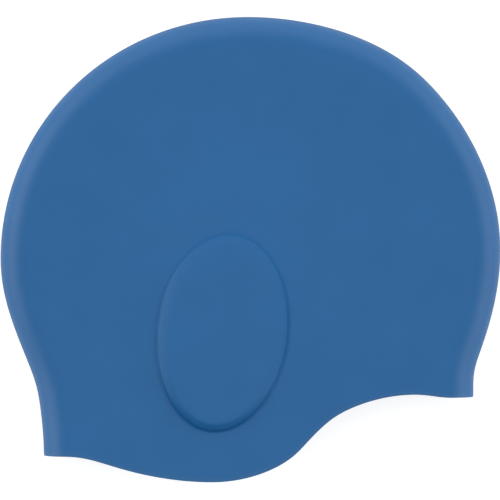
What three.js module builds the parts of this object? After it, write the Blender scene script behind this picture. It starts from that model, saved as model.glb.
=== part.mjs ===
// Moulded silicone swim cap with an ear pocket on each side, lying flat on one of its sides.
// Millimetres. +X is the brow end, +Y the top of the crown, +Z up from the surface it lies on.
import * as THREE from 'three';
import { mergeVertices } from 'three/addons/utils/BufferGeometryUtils.js';

// Rubber: an even wall that thickens into a rounded lip along the hem.
const wall = 1.0;
const lipWall = 1.8;
const lipDepth = 4;
const lipRound = 0.6;

// Side to side: the crown is a half-round bend, and each face sinks a little inside the bend's crest.
const thickness = 24;
const bendRadius = thickness / 2;
const dishWidth = 45;

// Ear pocket: a flat oval top, as high as the bend's crest, on a shoulder that is steepest along the
// pocket's edge. The foot lies outside the edge and the roll inside it, and the face round them sinks
// by the dish's depth.
const pocketCentre = new THREE.Vector2(-12.3, -36.5);
const pocketLength = 85.0;
const pocketWidth = 56.0;
const pocketLean = THREE.MathUtils.degToRad(-7.2);
const dishDepth = { brow: 0.8, top: 0.6, nape: 2.6, bottom: 3.3 };
const footWidth = { brow: 1.6, top: 1.4, nape: 1.4, bottom: 3.0 };
const rollWidth = { brow: 5.2, top: 5.8, nape: 7.0, bottom: 4.6 };

// How finely the faceted solid follows its curves.
const crownSteps = 44;
const hemSteps = 20;
const bendSteps = 6;
const faceSteps = 4;
const rollSteps = 2;
const crownSamples = 280;

// The crown's outline from the nape corner, over the top, to the brow corner.
// heading is the way it runs, in degrees from +X; before and after are the lengths of the handles.
const crownNodes = [
  { x: -90.7, y: -90.4, heading: 90, before: 0, after: 10 },
  { x: -93.3, y: -62.6, heading: 101, before: 5.1, after: 5.1 },
  { x: -98.0, y: -48.6, heading: 112, before: 4.9, after: 16.2 },
  { x: -109.8, y: -4.0, heading: 90, before: 16, after: 59 },
  { x: -1.0, y: 102.6, heading: 0, before: 60.8, after: 27.5 },
  { x: 76.3, y: 75.7, heading: -44, before: 26.5, after: 27.8 },
  { x: 110.2, y: 0, heading: -90, before: 28.5, after: 15 },
  { x: 102.1, y: -42.5, heading: -109.5, before: 13.8, after: 5.1 },
  { x: 98.3, y: -56.0, heading: -91, before: 4, after: 3 },
  { x: 98.3, y: -64.6, heading: -90, before: 3, after: 0 },
];
const napeCorner = crownNodes[0];
const browCorner = crownNodes.at(-1);

// The hem of one face, from where the nape's bend ends to where the brow's begins.
const hemNodes = [
  { x: napeCorner.x + bendRadius, y: napeCorner.y, heading: 0, before: 0, after: 5 },
  { x: -61.7, y: -94.1, heading: -18, before: 6.8, after: 9.5 },
  { x: -16.4, y: -101.7, heading: 0, before: 20, after: 17 },
  { x: 21.9, y: -87.6, heading: 48, before: 9.5, after: 5.3 },
  { x: 34.8, y: -74.7, heading: 39, before: 6.4, after: 8.2 },
  { x: 72.3, y: -63.2, heading: 0, before: 16, after: 6 },
  { x: browCorner.x - bendRadius, y: browCorner.y, heading: 0, before: 4, after: 0 },
];

function alongHeading(node, length) {
  const angle = THREE.MathUtils.degToRad(node.heading);
  return new THREE.Vector2(node.x + length * Math.cos(angle), node.y + length * Math.sin(angle));
}

function smoothPath(nodes) {
  const path = new THREE.Path().moveTo(nodes[0].x, nodes[0].y);
  for (let i = 1; i < nodes.length; i += 1) {
    const leave = alongHeading(nodes[i - 1], nodes[i - 1].after);
    const arrive = alongHeading(nodes[i], -nodes[i].before);
    path.bezierCurveTo(leave.x, leave.y, arrive.x, arrive.y, nodes[i].x, nodes[i].y);
  }
  return path;
}

const crown = smoothPath(crownNodes);
const hem = smoothPath(hemNodes);
const crownTrace = crown.getSpacedPoints(crownSamples);

// Even steps along a path, with one more at the lip's depth from either end.
function stationsAlong(path, steps) {
  const lipShare = lipDepth / path.getLength();
  const shares = [0, lipShare, 1 - lipShare, 1];
  for (let i = 1; i < steps; i += 1) shares.push(i / steps);
  return shares.sort((a, b) => a - b);
}

// The crown's stations run clockwise, so inward is to the right; the hem's run back, with it to the left.
const crownStations = stationsAlong(crown, crownSteps).map((share) => {
  const tangent = crown.getTangentAt(share);
  return { at: crown.getPointAt(share), inward: new THREE.Vector2(tangent.y, -tangent.x) };
});
const hemStations = stationsAlong(hem, hemSteps).map((share) => {
  const tangent = hem.getTangentAt(share);
  const inward = new THREE.Vector2(-tangent.y, tangent.x);
  return { at: hem.getPointAt(share).addScaledVector(inward, lipRound), inward };
});
// The crown's end stations stand back by the same rounding, so that both meet at the corners.
crownStations[0].at.y += lipRound;
crownStations.at(-1).at.y += lipRound;

const lift = (point, height) => new THREE.Vector3(point.x, point.y, height);

// A measure in the direction of a point from the pocket, blended between its values on the four sides.
function towardsSide(point, { brow, top, nape, bottom }) {
  const ray = point.clone().sub(pocketCentre).normalize();
  return THREE.MathUtils.lerp(ray.x > 0 ? brow : nape, ray.y > 0 ? top : bottom, ray.y ** 2);
}

// Height of a face above the cap's middle plane, outside its pocket and its bend.
function faceHeight(point) {
  const fromCrown = Math.min(...crownTrace.map((sample) => sample.distanceTo(point)));
  const inside = THREE.MathUtils.smoothstep(fromCrown, bendRadius, bendRadius + dishWidth);
  return bendRadius - towardsSide(point, dishDepth) * inside;
}

// One point of the rounded bend, at a share of the way from the middle plane up to the crest.
function bendPoint(station, share, inset) {
  const angle = (share * Math.PI) / 2;
  const radius = bendRadius - inset;
  const across = bendRadius - radius * Math.cos(angle);
  return lift(station.at.clone().addScaledVector(station.inward, across), radius * Math.sin(angle));
}

// Where a ray from the pocket's centre through a point crosses the pocket's oval, drawn in by a margin.
function onPocket(towards, margin) {
  const ray = towards.clone().sub(pocketCentre);
  const turn = ray.angle() - pocketLean;
  const halfLength = pocketLength / 2 - margin;
  const halfWidth = pocketWidth / 2 - margin;
  const reach = 1 / Math.hypot(Math.cos(turn) / halfWidth, Math.sin(turn) / halfLength);
  return pocketCentre.clone().addScaledVector(ray.normalize(), reach);
}

// One point of the shoulder: stage 0 is its foot, 1 the pocket's edge and 2 the flat top. It rises by a
// hollow arc to the edge and by a round one from there.
function shoulderPoint(towards, stage, inset) {
  const foot = towardsSide(towards, footWidth);
  const roll = towardsSide(towards, rollWidth);
  const footHeight = faceHeight(onPocket(towards, -foot));
  const rise = bendRadius - footHeight;
  const steepest = 2 * Math.atan(rise / (foot + roll));
  const slope = stage < 1 ? steepest * stage : steepest * (2 - stage);
  const reach = Math.sin(slope) / Math.sin(steepest);
  const drop = (1 - Math.cos(slope)) / Math.sin(steepest);
  const margin = stage < 1 ? foot * (reach - 1) : roll * (1 - reach);
  const height = stage < 1 ? footHeight + foot * drop : bendRadius - roll * drop;
  return lift(onPocket(towards, inset + margin), height - inset);
}

// Where each ray of the face ends: the bend's crest, then the hem, as one closed run round the face.
const lastCrown = crownStations.length - 1;
const rim = [
  ...crownStations.map(({ at, inward }) => ({ at: at.clone().addScaledVector(inward, bendRadius), inward })),
  ...hemStations.slice(1, -1).reverse(),
];
const innerRim = rim.map(({ at, inward }) => at.clone().addScaledVector(inward, lipDepth));
// At the two corners the rim turns from crest to hem: the inner row steps in from both at once there,
// and the rays on either side end in the same point.
const upFromHem = new THREE.Vector2(0, 1);
for (const corner of [0, lastCrown]) {
  innerRim[corner].addScaledVector(upFromHem, lipDepth);
  innerRim[corner + 1] = innerRim[corner];
  innerRim[(corner - 1 + rim.length) % rim.length] = innerRim[corner];
}

// The upper half of the outer skin, or of the inner one, which lies inside it by the wall.
function upperHalf(inset, lipInset) {
  const bend = [];
  for (let row = 0; row <= bendSteps; row += 1) {
    bend.push(crownStations.map((station, i) => {
      const atHem = i === 0 || i === lastCrown;
      return bendPoint(station, row / bendSteps, atHem ? lipInset : inset);
    }));
  }
  const crest = bend.at(-1);
  const faceRows = [rim.map(({ at }, i) => crest[i] ?? lift(at, faceHeight(at) - lipInset))];
  for (let row = 0; row < faceSteps; row += 1) {
    faceRows.push(innerRim.map((point) => {
      const plan = point.clone().lerp(shoulderPoint(point, 0, inset), row / faceSteps);
      return lift(plan, faceHeight(plan) - inset);
    }));
  }
  faceRows.push(innerRim.map((point) => shoulderPoint(point, 0, inset)));
  for (let row = 0; row <= rollSteps; row += 1) {
    faceRows.push(innerRim.map((point) => shoulderPoint(point, 1 + row / rollSteps, inset)));
  }
  const hemEdge = [
    ...bend.map((row) => row[0]),
    ...faceRows[0].slice(lastCrown + 1).reverse(),
    ...bend.map((row) => row[lastCrown]).reverse(),
  ];
  return { bend, faceRows, hemEdge, centre: lift(pocketCentre, bendRadius - inset) };
}

const corners = [];

function addTriangle(a, b, c, flipped) {
  if (a.distanceTo(b) * b.distanceTo(c) * c.distanceTo(a) === 0) return;
  const order = flipped ? [a, c, b] : [a, b, c];
  order.forEach((corner) => corners.push(corner.x, corner.y, corner.z));
}

function addStrip(first, second, closed, flipped) {
  const last = closed ? first.length : first.length - 1;
  for (let i = 0; i < last; i += 1) {
    const next = (i + 1) % first.length;
    addTriangle(first[i], first[next], second[next], flipped);
    addTriangle(first[i], second[next], second[i], flipped);
  }
}

const mirrored = (point) => new THREE.Vector3(point.x, point.y, -point.z);

function addSkin(half, side, flipped) {
  const place = (row) => (side > 0 ? row : row.map(mirrored));
  const bend = half.bend.map(place);
  const faceRows = half.faceRows.map(place);
  for (let row = 1; row < bend.length; row += 1) addStrip(bend[row - 1], bend[row], false, flipped);
  for (let row = 1; row < faceRows.length; row += 1) {
    addStrip(faceRows[row - 1], faceRows[row], true, flipped);
  }
  const [centre] = place([half.centre]);
  const plateau = faceRows.at(-1);
  addStrip(plateau, plateau.map(() => centre), true, flipped);
}

// Along the two bends the lip faces straight down the cap, and along the face away from its hem.
function lipOutward(index, count) {
  const onFace = index > bendSteps && index < count - 1 - bendSteps;
  return onFace ? hemStations[index - bendSteps].inward.clone().negate() : upFromHem.clone().negate();
}

// The lip closes the wall along the hem, rounded out between the two skins.
function addLip(outer, inner, side) {
  const place = (row) => (side > 0 ? row : row.map(mirrored));
  const middle = outer.hemEdge.map((point, i) => {
    const outward = lipOutward(i, outer.hemEdge.length).multiplyScalar(lipRound);
    return point.clone().lerp(inner.hemEdge[i], 0.5).add(lift(outward, 0));
  });
  const rows = [outer.hemEdge, middle, inner.hemEdge].map(place);
  for (let row = 1; row < rows.length; row += 1) addStrip(rows[row - 1], rows[row], false, side > 0);
}

const outerHalf = upperHalf(0, 0);
const innerHalf = upperHalf(wall, lipWall);
for (const side of [1, -1]) {
  addSkin(outerHalf, side, side > 0);
  addSkin(innerHalf, side, side < 0);
  addLip(outerHalf, innerHalf, side);
}

const geometry = new THREE.BufferGeometry();
geometry.setAttribute('position', new THREE.Float32BufferAttribute(corners, 3));
const rubber = new THREE.MeshStandardMaterial({ color: 0x35679b, roughness: 0.5, metalness: 0 });
const capShell = new THREE.Mesh(mergeVertices(geometry), rubber);
capShell.name = 'cap_shell';

// The cap lies on z = 0, centred on its own length and height.
const extent = new THREE.Box3().setFromObject(capShell);
const middle = extent.getCenter(new THREE.Vector3());
capShell.position.set(-middle.x, -middle.y, bendRadius);

const cap = new THREE.Group();
cap.add(capShell);

export default cap;
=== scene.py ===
"""A silicone swim cap with moulded ear pockets, lying flat on its side."""

import bisect
import math

import bmesh
import bpy
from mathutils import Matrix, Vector, noise
from mathutils.geometry import interpolate_bezier
from mathutils.kdtree import KDTree


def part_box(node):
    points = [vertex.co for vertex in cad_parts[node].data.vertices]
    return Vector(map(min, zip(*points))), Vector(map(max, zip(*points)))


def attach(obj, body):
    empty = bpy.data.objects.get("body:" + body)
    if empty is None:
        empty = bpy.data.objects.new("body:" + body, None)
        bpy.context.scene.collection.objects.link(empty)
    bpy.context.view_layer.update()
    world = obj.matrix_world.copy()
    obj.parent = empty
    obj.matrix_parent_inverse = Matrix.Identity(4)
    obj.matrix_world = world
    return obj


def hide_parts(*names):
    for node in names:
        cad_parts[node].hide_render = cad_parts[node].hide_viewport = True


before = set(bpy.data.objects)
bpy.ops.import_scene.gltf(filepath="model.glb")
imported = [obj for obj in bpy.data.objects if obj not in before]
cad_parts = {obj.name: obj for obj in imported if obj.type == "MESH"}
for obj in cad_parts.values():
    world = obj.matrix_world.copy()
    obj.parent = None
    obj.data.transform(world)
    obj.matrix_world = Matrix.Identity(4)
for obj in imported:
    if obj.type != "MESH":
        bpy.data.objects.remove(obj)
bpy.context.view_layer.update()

# The cap is one moulding of coloured silicone rubber. It comes out of its mould as two shallow faces
# joined by a half-round bend along the crown, with an oval pocket for the ear pressed out of each
# face, and a hem that the mould leaves thicker and round-edged.
low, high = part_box("cap_shell")
bend_radius = (high.z - low.z) / 2
dish_width = 0.045
ripple = 0.0003
ripple_length = 0.040
wall = 0.0010
lip_wall = 0.0018
lip_round = 0.0004
lip_strip = 0.007
lip_reach = 0.0025

# The pocket's oval edge is where its shoulder is steepest: the foot and its groove lie outside the
# edge and the roll inside it. Their widths and depths, how far the face round them sinks, and how much
# gloss the crease has taken off as painted shade, are given on the pocket's brow side, top, nape side
# and bottom.
pocket_centre = Vector((-0.0123, -0.0365, 0))
pocket_length = 0.0850
pocket_width = 0.0560
pocket_lean = math.radians(-7.2)
dish_depth = (0.0008, 0.0006, 0.0026, 0.0030)
foot_width = (0.0016, 0.0014, 0.0014, 0.0024)
groove_depth = (0.0006, 0.0001, 0.0005, 0.0006)
roll_width = (0.0050, 0.0058, 0.0068, 0.0038)
crease_painted_shade = (0.62, 0.4, 0, 0)
crease_outset = 0.0007
crease_reach = 0.0027

# Each node of an outline: x, y, heading in degrees, and the handle's length before and after it.
crown_nodes = [
    (-0.0907, -0.0904, 90, 0, 0.010),
    (-0.0933, -0.0626, 101, 0.0051, 0.0051),
    (-0.0980, -0.0486, 112, 0.0049, 0.0162),
    (-0.1098, -0.0040, 90, 0.016, 0.0590),
    (-0.0010, 0.1026, 0, 0.0608, 0.0275),
    (0.0763, 0.0757, -44, 0.0265, 0.0278),
    (0.1102, 0, -90, 0.0285, 0.015),
    (0.1021, -0.0425, -109.5, 0.0138, 0.0051),
    (0.0983, -0.0560, -91, 0.004, 0.003),
    (0.0983, -0.0646, -90, 0.003, 0),
]
hem_nodes = [
    (crown_nodes[-1][0] - bend_radius, crown_nodes[-1][1], 180, 0, 0.004),
    (0.0723, -0.0632, 180, 0.006, 0.016),
    (0.0348, -0.0747, 219, 0.0082, 0.0064),
    (0.0219, -0.0876, 228, 0.0053, 0.0095),
    (-0.0164, -0.1017, 180, 0.017, 0.020),
    (-0.0617, -0.0941, 162, 0.0095, 0.0068),
    (crown_nodes[0][0] + bend_radius, crown_nodes[0][1], 180, 0.005, 0),
]
crown_steps = 100
hem_steps = 44
bend_steps = 7
face_rows = 12
strip_shares = (0.4, 0.7, 0.88, 1)
foot_stages = (0.2, 0.4, 0.6, 0.8, 1)
roll_stages = (1.2, 1.4, 1.6, 1.8, 2)
plateau_shares = (0.85, 0.6, 0.3)
outline_samples = 120
trace_stride = 4
evening_rounds = 60
lip_turn = math.radians(60)
lip_segments = 3
same_place = 0.00001


def along(node, length):
    """The point at a length ahead of a node, along its heading."""
    angle = math.radians(node[2])
    return Vector((node[0] + length * math.cos(angle), node[1] + length * math.sin(angle), 0))


def smooth_outline(nodes):
    """Points close together along the Bezier stretches through the nodes."""
    points = [along(nodes[0], 0)]
    for start, end in zip(nodes, nodes[1:]):
        stretch = interpolate_bezier(along(start, 0), along(start, start[4]),
                                     along(end, -end[3]), along(end, 0), outline_samples)
        points += stretch[1:]
    return points


def stations(points, steps, margin):
    """Evenly spaced (place, inward) pairs along a run of points. With a margin, the even ones stop
    short of the run's ends by it, and one more stands on each end."""
    reach = [0]
    for a, b in zip(points, points[1:]):
        reach.append(reach[-1] + (b - a).length)
    goals = [margin + (reach[-1] - 2 * margin) * step / steps for step in range(steps + 1)]
    pairs = []
    for goal in [0, *goals, reach[-1]] if margin else goals:
        i = min(max(bisect.bisect_left(reach, goal), 1), len(points) - 1)
        stretch = points[i] - points[i - 1]
        place = points[i - 1] + stretch * (goal - reach[i - 1]) / stretch.length
        pairs.append((place, Vector((stretch.y, -stretch.x, 0)).normalized()))
    return pairs


crown_line = smooth_outline(crown_nodes)
crown_stations = stations(crown_line, crown_steps, lip_strip)
hem_stations = stations(smooth_outline(hem_nodes), hem_steps, 0)[1:-1]
crown_trace = crown_line[::trace_stride]


def bend_point(station, angle):
    """A point of the bend that has turned by an angle up from the crown's outermost line."""
    place, inward = station
    rise = Vector((0, 0, bend_radius * math.sin(angle)))
    return place + inward * bend_radius * (1 - math.cos(angle)) + rise


def eased(share):
    """A share from 0 to 1 that starts and ends gently."""
    share = min(max(share, 0), 1)
    return share * share * (3 - 2 * share)


def by_side(bearing, brow, top, nape, bottom):
    """A measure at a bearing from the pocket's centre, blended between its values on the four sides."""
    along_x, along_y = math.cos(bearing), math.sin(bearing)
    side = brow if along_x > 0 else nape
    end = top if along_y > 0 else bottom
    return side * along_x ** 2 + end * along_y ** 2


def face_height(point):
    """How far a face stands from the cap's middle plane, outside its pocket and its bend. It sinks a
    little inside the bend, and not quite evenly, as soft rubber does."""
    spot = Vector((point.x, point.y, 0))
    from_crown = min((spot - sample).length for sample in crown_trace)
    away = spot - pocket_centre
    dish = by_side(math.atan2(away.y, away.x), *dish_depth)
    sag = ripple * (1 + noise.noise(spot / ripple_length)) / 2
    return bend_radius - (dish + sag) * eased((from_crown - bend_radius) / dish_width)


def on_face(point):
    """A point moved up or down to the face."""
    return Vector((point.x, point.y, face_height(point)))


quarter_turn = [math.pi / 2 * step / bend_steps for step in range(bend_steps + 1)]
crest = [bend_point(station, math.pi / 2) for station in crown_stations[1:-1]]
inner_hem = [on_face(place + inward * lip_strip) for place, inward in hem_stations]
rim = crest + inner_hem

# The mesh's spokes run from the pocket to the rim. Their bearings from the pocket's centre are half
# way between the rim points' own and even ones, so that no two come too close together.
spokes = []
for i, point in enumerate(rim):
    own = math.atan2(point.y - pocket_centre.y, point.x - pocket_centre.x)
    if i > 0 and own > spokes[-1][0]:
        own -= math.tau
    even = spokes[0][0] - math.tau * i / len(rim) if spokes else own
    spokes.append((own, (own + even) / 2))


def on_pocket(bearing, margin):
    """The place on the pocket's oval, drawn in by a margin, at a bearing from the pocket's centre."""
    turn = bearing - pocket_lean
    reach = 1 / math.hypot(math.cos(turn) / (pocket_width / 2 - margin),
                           math.sin(turn) / (pocket_length / 2 - margin))
    return pocket_centre + Vector((reach * math.cos(bearing), reach * math.sin(bearing), 0))


def pocket_row(stage):
    """A ring of the pocket's shoulder, at its foot at stage 0, its edge at 1 and its flat top at 2. It
    rises by a hollow arc to the edge and by a round one from there."""
    ring = []
    for _, bearing in spokes:
        foot = by_side(bearing, *foot_width)
        roll = by_side(bearing, *roll_width)
        groove = by_side(bearing, *groove_depth)
        foot_height = face_height(on_pocket(bearing, -foot))
        steepest = 2 * math.atan((bend_radius - foot_height) / (foot + roll))
        slope = steepest * (stage if stage < 1 else 2 - stage)
        reach = math.sin(slope) / math.sin(steepest)
        drop = (1 - math.cos(slope)) / math.sin(steepest)
        if stage < 1:
            point = on_pocket(bearing, foot * (reach - 1))
            point.z = foot_height + foot * drop - groove * math.sin(math.pi * stage)
        else:
            point = on_pocket(bearing, roll * (1 - reach))
            point.z = bend_radius - roll * drop
        ring.append(point)
    return ring


def tree_of(points):
    """A search tree that finds the nearest of the points."""
    tree = KDTree(len(points))
    for i, point in enumerate(points):
        tree.insert(point, i)
    tree.balance()
    return tree


def finder(points):
    """A function that says which point of a row a vertex stands on, or None."""
    tree = tree_of(points)

    def find(vert):
        _, i, gap = tree.find(vert.co)
        return i if gap < same_place else None
    return find


def select_row(points, closed):
    """Selects the edges of the mesh in hand that join one point of a row to the next."""
    bpy.ops.mesh.select_all(action="DESELECT")
    mesh = bmesh.from_edit_mesh(bpy.context.object.data)
    find = finder(points)
    for edge in mesh.edges:
        ends = [find(vert) for vert in edge.verts]
        if None not in ends:
            gap = abs(ends[0] - ends[1])
            edge.select = gap == 1 or (closed and gap == len(points) - 1)
    mesh.select_flush_mode()
    bmesh.update_edit_mesh(bpy.context.object.data)


def extrude_row(row, new_row, closed):
    """Extrudes a row of edges, and moves each new vertex to its place in the new row."""
    select_row(row, closed)
    bpy.ops.mesh.extrude_edges_move()
    mesh = bmesh.from_edit_mesh(bpy.context.object.data)
    find = finder(row)
    for vert in mesh.verts:
        if vert.select:
            vert.co = new_row[find(vert)]
    bmesh.update_edit_mesh(bpy.context.object.data)
    return new_row


# One face: rows from its rim in to the pocket's foot, evened out, and sunk a little towards its middle.
bpy.ops.object.select_all(action="DESELECT")
bpy.ops.mesh.primitive_circle_add(vertices=len(rim), fill_type="NOTHING")
cap = bpy.context.object
cap.name = cap.data.name = "swim_cap"
bpy.ops.object.mode_set(mode="EDIT")
bpy.ops.mesh.select_mode(type="VERT")
mesh = bmesh.from_edit_mesh(cap.data)
for vert, point in zip(mesh.verts, rim):
    vert.co = point
bmesh.update_edit_mesh(cap.data)
foot = [on_face(point) for point in pocket_row(0)]
row = rim
for step in range(1, face_rows + 1):
    share = step / face_rows
    row = extrude_row(row, [a.lerp(b, share) for a, b in zip(rim, foot)], closed=True)
bpy.ops.mesh.select_all(action="DESELECT")
mesh = bmesh.from_edit_mesh(cap.data)
for vert in mesh.verts:
    vert.select = not vert.is_boundary
mesh.select_flush_mode()
bpy.ops.mesh.vertices_smooth(factor=0.5, repeat=evening_rounds)
mesh = bmesh.from_edit_mesh(cap.data)
for vert in mesh.verts:
    if not vert.is_boundary:
        vert.co = on_face(vert.co)
bmesh.update_edit_mesh(cap.data)

# The pocket: its shoulder and its flat top.
row = foot
for stage in foot_stages + roll_stages:
    row = extrude_row(row, pocket_row(stage), closed=True)
top = row
middle = pocket_centre + Vector((0, 0, bend_radius))
for share in plateau_shares:
    row = extrude_row(row, [middle.lerp(point, share) for point in top], closed=True)
select_row(row, closed=True)
bpy.ops.mesh.edge_face_add()
bpy.ops.mesh.poke()

# The bend of the crown, down to the line where the two halves meet.
row = crest
for angle in reversed(quarter_turn[:-1]):
    turned = [bend_point(station, angle) for station in crown_stations[1:-1]]
    row = extrude_row(row, turned, closed=False)


def edge_to_edge(brow_station, hem, nape_station):
    """A row that runs up the brow's bend, along the face's hem, and down the nape's bend."""
    return ([bend_point(brow_station, angle) for angle in quarter_turn] + hem
            + [bend_point(nape_station, angle) for angle in reversed(quarter_turn)])


# The strip along the hem, down to its edge.
inner = edge_to_edge(crown_stations[-2], inner_hem, crown_stations[1])
hem_edge = [on_face(place) for place, _ in hem_stations]
outer = edge_to_edge(crown_stations[-1], hem_edge, crown_stations[0])
row = inner
for share in strip_shares:
    row = extrude_row(row, [a.lerp(b, share) for a, b in zip(inner, outer)], closed=False)
bpy.ops.object.mode_set(mode="OBJECT")


def apply_modifier(piece, kind, **settings):
    """Adds a modifier of a kind to the active piece and applies it."""
    modifier = piece.modifiers.new(kind.title(), kind)
    for setting, value in settings.items():
        setattr(modifier, setting, value)
    bpy.ops.object.modifier_apply(modifier=modifier.name)


# The other half is its mirror image. The rubber grows thicker towards the hem's edge.
apply_modifier(cap, "MIRROR", use_axis=(False, False, True), use_clip=True, merge_threshold=same_place)
bpy.ops.object.mode_set(mode="EDIT")
bpy.ops.mesh.select_all(action="SELECT")
bpy.ops.mesh.remove_doubles(threshold=same_place)
bpy.ops.mesh.normals_make_consistent(inside=False)
bpy.ops.object.mode_set(mode="OBJECT")
apply_modifier(cap, "SUBSURF", levels=1, render_levels=1)
hem_group = cap.vertex_groups.new(name="hem")
mesh = bmesh.new()
mesh.from_mesh(cap.data)
edge_tree = tree_of([vert.co.copy() for vert in mesh.verts if vert.is_boundary])
mesh.free()
for vert in cap.data.vertices:
    away = edge_tree.find(vert.co)[2] / lip_strip
    if away < 1:
        hem_group.add([vert.index], (1 - away) ** 2, "REPLACE")
apply_modifier(cap, "SOLIDIFY", thickness=lip_wall, offset=-1, vertex_group="hem",
               thickness_vertex_group=wall / lip_wall, use_even_offset=False)

# The lip's two sharp edges are rounded off.
bpy.ops.object.mode_set(mode="EDIT")
bpy.ops.mesh.select_mode(type="EDGE")
bpy.ops.mesh.select_all(action="DESELECT")
bpy.ops.mesh.edges_select_sharp(sharpness=lip_turn)
bpy.ops.mesh.bevel(offset=lip_round, segments=lip_segments, affect="EDGES")
bpy.ops.object.mode_set(mode="OBJECT")
bpy.ops.object.shade_smooth()


def mark(name, strengths):
    """Writes one strength for each point of the cap, under a name that its material reads."""
    attribute = cap.data.attributes.new(name, "FLOAT", "POINT")
    attribute.data.foreach_set("value", strengths)


def crease_at(point):
    """How much painted shade the crease round the pocket gets at a point, as gloss taken off, from 0 to
    1.
    """
    away = Vector((point.x, point.y, 0)) - pocket_centre
    bearing = math.atan2(away.y, away.x)
    gap = away.length - (on_pocket(bearing, -crease_outset) - pocket_centre).length
    return by_side(bearing, *crease_painted_shade) * max(0, 1 - abs(gap) / crease_reach)


def turn_at(point):
    """How far the bend has turned at a point, from 0 at its crest to 1 at its outermost line."""
    if crown_tree.find(Vector((point.x, point.y, 0)))[2] > bend_radius:
        return 0
    return 1 - math.asin(min(abs(point.z) / bend_radius, 1)) / (math.pi / 2)


# Painted shade and sheen: the pocket's crease has gloss taken off as painted shade, more on its brow
# side and top. The bend gets a painted sheen in its gloss, though its outermost line gets painted
# shade, and the lip along the hem is painted paler as a sheen.
crown_tree = tree_of(crown_line)
mark("crease", [crease_at(vert.co) for vert in cap.data.vertices])
mark("turn", [turn_at(vert.co) for vert in cap.data.vertices])
mark("lip", [max(0, 1 - edge_tree.find(vert.co)[2] / lip_reach) for vert in cap.data.vertices])

# It lies on the table, centred on its own length and height.
outline_middle = sum((Vector(corner) for corner in cap.bound_box), Vector()) / 8
bpy.ops.transform.translate(value=(-outline_middle.x, -outline_middle.y, bend_radius))
bpy.ops.object.transform_apply()


def remap(node_tree, source, from_range, to_range):
    """A value carried smoothly from one range to another."""
    node = node_tree.nodes.new("ShaderNodeMapRange")
    node.interpolation_type = "SMOOTHSTEP"
    for name, value in zip(("From Min", "From Max", "To Min", "To Max"), from_range + to_range):
        node.inputs[name].default_value = value
    node_tree.links.new(source, node.inputs["Value"])
    return node.outputs["Result"]


# Silicone from a fine-blasted mould: a satin grain, and a tone and a gloss that cloud a little. Each
# face's tone is painted paler towards its middle, a painted pool of light, and the bend's outermost
# line is painted darker, as painted shade. The bend's painted sheen is given as a gloss level at each
# share of its turn.
deep_blue = (0.0086, 0.1163, 0.321, 1)
pale_blue = (0.0103, 0.1293, 0.357, 1)
# Painted shade colour for the bend's outermost line.
painted_edge_shade_blue = (0.003, 0.045, 0.130, 1)
# Painted sheen colour for the lip along the hem.
lip_sheen_blue = (0.024, 0.130, 0.315, 1)
# The middle of the painted light on each face.
face_middle = (-0.009, 0.020, bend_radius)
tone_cloud = 0.022
gloss_cloud = 0.012
grain_size = 0.0004
grain_depth = 0.00003
bend_painted_sheen = [
    (0, 0.49),
    (0.08, 0.46),
    (0.2, 0.56),
    (0.32, 0.72),
    (0.4, 0.69),
    (0.5, 0.54),
    (0.65, 0.35),
    (0.76, 0.2),
    (0.88, 0.05),
    (1, 0.02),
]
rubber = bpy.data.materials.new("blue_silicone")
rubber.use_nodes = True
tree = rubber.node_tree
shader = tree.nodes["Principled BSDF"]
place = tree.nodes.new("ShaderNodeTexCoord").outputs["Object"]


def mottling(size, detail):
    """Noise over the cap, in patches about as wide as the size in metres."""
    node = tree.nodes.new("ShaderNodeTexNoise")
    node.inputs["Scale"].default_value = 1 / size
    node.inputs["Detail"].default_value = detail
    tree.links.new(place, node.inputs["Vector"])
    return node.outputs["Fac"]


def marked(name):
    """The strengths that were written on the cap's points under a name."""
    node = tree.nodes.new("ShaderNodeAttribute")
    node.attribute_name = name
    return node.outputs["Fac"]


tone = tree.nodes.new("ShaderNodeValToRGB")
dark, pale = tone.color_ramp.elements
dark.position, dark.color = 0.3, deep_blue
pale.position, pale.color = 1, pale_blue
from_middle = tree.nodes.new("ShaderNodeVectorMath")
from_middle.operation = "DISTANCE"
from_middle.inputs[1].default_value = face_middle
tree.links.new(place, from_middle.inputs[0])
mixed = tree.nodes.new("ShaderNodeMath")
tree.links.new(mottling(tone_cloud, 6), mixed.inputs[0])
# Painted light: the tone is lifted towards the middle of each face.
painted_light_middle = remap(tree, from_middle.outputs["Value"], (0.075, 0.01), (0, 0.3))
tree.links.new(painted_light_middle, mixed.inputs[1])
tree.links.new(mixed.outputs["Value"], tone.inputs["Fac"])
# Painted shade: the bend's outermost line is mixed towards a dark blue.
painted_edge_shade = tree.nodes.new("ShaderNodeMixRGB")
tree.links.new(remap(tree, marked("turn"), (0.6, 1), (0, 0.33)), painted_edge_shade.inputs["Fac"])
tree.links.new(tone.outputs["Color"], painted_edge_shade.inputs["Color1"])
painted_edge_shade.inputs["Color2"].default_value = painted_edge_shade_blue
# Painted sheen: the lip along the hem is mixed towards a paler, greyer blue.
painted_lip_sheen = tree.nodes.new("ShaderNodeMixRGB")
tree.links.new(marked("lip"), painted_lip_sheen.inputs["Fac"])
tree.links.new(painted_edge_shade.outputs["Color"], painted_lip_sheen.inputs["Color1"])
painted_lip_sheen.inputs["Color2"].default_value = lip_sheen_blue
tree.links.new(painted_lip_sheen.outputs["Color"], shader.inputs["Base Color"])
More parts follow.
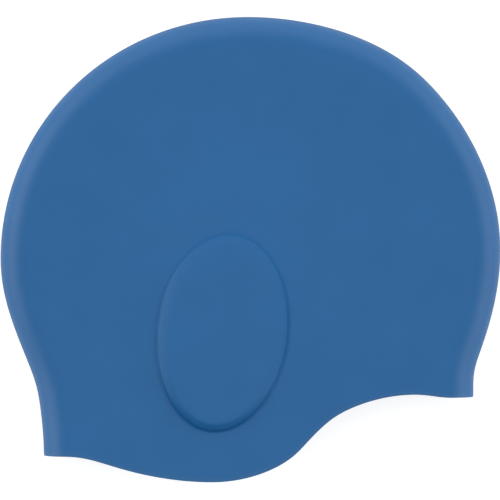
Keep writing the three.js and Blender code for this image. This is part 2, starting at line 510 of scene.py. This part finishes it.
# Painted sheen along the bend and painted shade on its outermost line, given as a gloss level.
painted_sheen_curve = tree.nodes.new("ShaderNodeFloatCurve")
curve = painted_sheen_curve.mapping.curves[0]
curve.points[0].location = bend_painted_sheen[0]
curve.points[1].location = bend_painted_sheen[-1]
for turn, level in bend_painted_sheen[1:-1]:
    curve.points.new(turn, level)
painted_sheen_curve.mapping.update()
tree.links.new(marked("turn"), painted_sheen_curve.inputs["Value"])
gloss = tree.nodes.new("ShaderNodeMath")
gloss.operation = "MULTIPLY"
tree.links.new(painted_sheen_curve.outputs["Value"], gloss.inputs[0])
# Painted shade: the crease round the pocket loses gloss.
tree.links.new(remap(tree, marked("crease"), (0, 1), (1, 0)), gloss.inputs[1])
tree.links.new(gloss.outputs["Value"], shader.inputs["Specular IOR Level"])
roughness = remap(tree, mottling(gloss_cloud, 3), (0.3, 0.7), (0.36, 0.42))
tree.links.new(roughness, shader.inputs["Roughness"])
shader.inputs["IOR"].default_value = 1.41
grain = tree.nodes.new("ShaderNodeBump")
grain.inputs["Strength"].default_value = 0.35
grain.inputs["Distance"].default_value = grain_depth
tree.links.new(mottling(grain_size, 2), grain.inputs["Height"])
tree.links.new(grain.outputs["Normal"], shader.inputs["Normal"])
cap.data.materials.append(rubber)

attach(cap, "root")
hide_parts("cap_shell")

# A plain white table top, large enough to fill the view from any side.
table_width = 6
bpy.ops.mesh.primitive_plane_add(size=table_width, location=(0, 0, 0))
floor = bpy.context.object
floor.name = "floor"
floor_paint = bpy.data.materials.new("white_floor")
floor_paint.use_nodes = True
floor_shader = floor_paint.node_tree.nodes["Principled BSDF"]
floor_shader.inputs["Base Color"].default_value = (0.55, 0.55, 0.55, 1)
floor_shader.inputs["Roughness"].default_value = 0.9
floor_shader.inputs["Emission Color"].default_value = (1, 1, 1, 1)
floor_shader.inputs["Emission Strength"].default_value = 0.73
floor.data.materials.append(floor_paint)

# A white light tent round the table. It is brighter at its sides than overhead, where the camera looks
# in, and a little dimmer beyond the crown and the brow. Its chin side is dark from the table up, more
# so towards the nape, which leaves the pocket's lower crease in shade.
patch_lean = 0.3
scene = bpy.context.scene
scene.view_settings.view_transform = "Standard"
world = bpy.data.worlds.new("light_tent")
scene.world = world
world.use_nodes = True
tent = world.node_tree
nodes, links = tent.nodes, tent.links


def multiply(a, b):
    """The product of two values of the tent's own nodes."""
    node = nodes.new("ShaderNodeMath")
    node.operation = "MULTIPLY"
    links.new(a, node.inputs[0])
    links.new(b, node.inputs[1])
    return node.outputs["Value"]


direction = nodes.new("ShaderNodeSeparateXYZ")
links.new(nodes.new("ShaderNodeTexCoord").outputs["Generated"], direction.inputs["Vector"])
sides = remap(tent, direction.outputs["Z"], (0.97, 0.30), (1.00, 1.72))
lean = nodes.new("ShaderNodeMath")
lean.operation = "MULTIPLY_ADD"
links.new(multiply(direction.outputs["X"], direction.outputs["Z"]), lean.inputs[0])
lean.inputs[1].default_value = patch_lean
links.new(direction.outputs["Y"], lean.inputs[2])
towards_chin = remap(tent, lean.outputs["Value"], (-0.22, -0.70), (0, 0.94))
towards_crown = remap(tent, direction.outputs["Y"], (0.3, 0.9), (1, 0.60))
towards_brow = remap(tent, direction.outputs["X"], (-0.8, 0.8), (1.06, 0.93))
above_table = remap(tent, direction.outputs["Z"], (0, 0.05), (0, 1))
shade = nodes.new("ShaderNodeMath")
shade.operation = "SUBTRACT"
shade.inputs[0].default_value = 1
links.new(multiply(towards_chin, above_table), shade.inputs[1])
nodes["Background"].inputs["Color"].default_value = (1, 1, 1, 1)
all_round = multiply(multiply(sides, towards_crown), towards_brow)
brightness = multiply(all_round, shade.outputs["Value"])
links.new(brightness, nodes["Background"].inputs["Strength"])

# The camera looks straight down through a long lens, on the middle that the outline was drawn from.
# Its view is as wide as the cap is long, halfway up the cap.
lens = 300
sensor = 36
view_width = 0.2198
bpy.ops.object.camera_add(rotation=(0, 0, 0), location=(
    -outline_middle.x, -outline_middle.y, bend_radius + view_width * lens / sensor))
camera = bpy.context.object
camera.data.lens = lens
camera.data.sensor_width = sensor
scene.camera = camera
